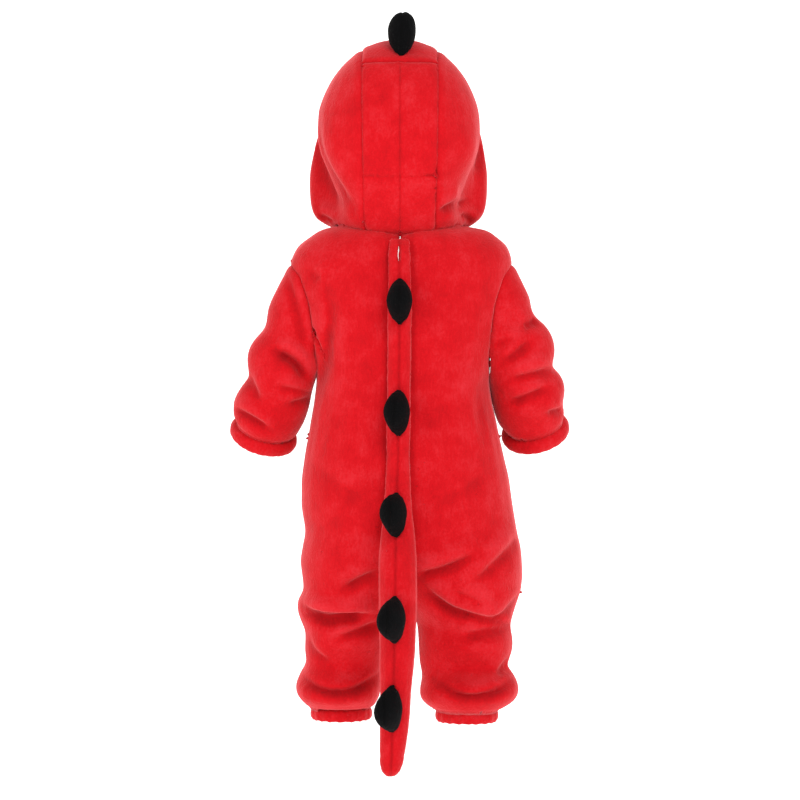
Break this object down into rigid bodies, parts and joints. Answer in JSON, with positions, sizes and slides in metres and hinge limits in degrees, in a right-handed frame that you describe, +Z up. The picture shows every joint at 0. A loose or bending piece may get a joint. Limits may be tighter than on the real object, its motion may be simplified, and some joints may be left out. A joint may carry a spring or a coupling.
{
  "type": "toddler hooded dragon onesie",
  "caption": "Hooded plush onesie for a toddler in the shape of a worn, standing body, with stuffed spikes up the back, a long stuffed tail and a front zip.",
  "frame": {"origin": "middle of the neck, level with the tops of the shoulders, where the garment hangs on its wearer", "axes": "+Z up the body to the crown of the hood, -Y out of the front where the zip is, +X to the wearer's left"},
  "size_m": [0.3906, 0.2756, 0.8476],
  "materials": {
    "red_plush": "short soft plush pile",
    "black_plush": "short soft plush pile",
    "white_filling": "loose polyester fibre",
    "zip_tape": "woven tape",
    "zip_metal": "plated and polished"
  },
  "bodies": {
    "garment": {"front_left": "red_plush", "front_right": "red_plush", "back_left": "red_plush", "back_right": "red_plush", "sleeve_left": "red_plush", "sleeve_right": "red_plush", "cuff_left": "red_plush", "cuff_right": "red_plush", "ankle_band_left": "red_plush", "ankle_band_right": "red_plush", "hood_side_left": "red_plush", "hood_side_right": "red_plush", "hood_crown": "red_plush", "hood_back_left": "red_plush", "hood_back_right": "red_plush", "hood_nape_left": "red_plush", "hood_nape_right": "red_plush", "spine_strip": "red_plush", "tail": "red_plush", "spike_hood": "black_plush", "spike_neck": "black_plush", "spike_back": "black_plush", "spike_seat": "black_plush", "spike_tail": "black_plush", "spike_tip": "black_plush", "slit_filling": "white_filling", "zip_tape_left": "zip_tape", "zip_tape_right": "zip_tape", "zip_slider": "zip_metal"},
    "zip_pull": {"zip_pull": "zip_metal"}
  },
  "joints": [
    {"name": "zip_pull_hinge", "type": "hinge", "parent": "garment", "child": "zip_pull", "pos_m": [0, -0.06846, -0.02319], "axis": [-1, 0, 0], "range_deg": [0, 150]}
  ]
}
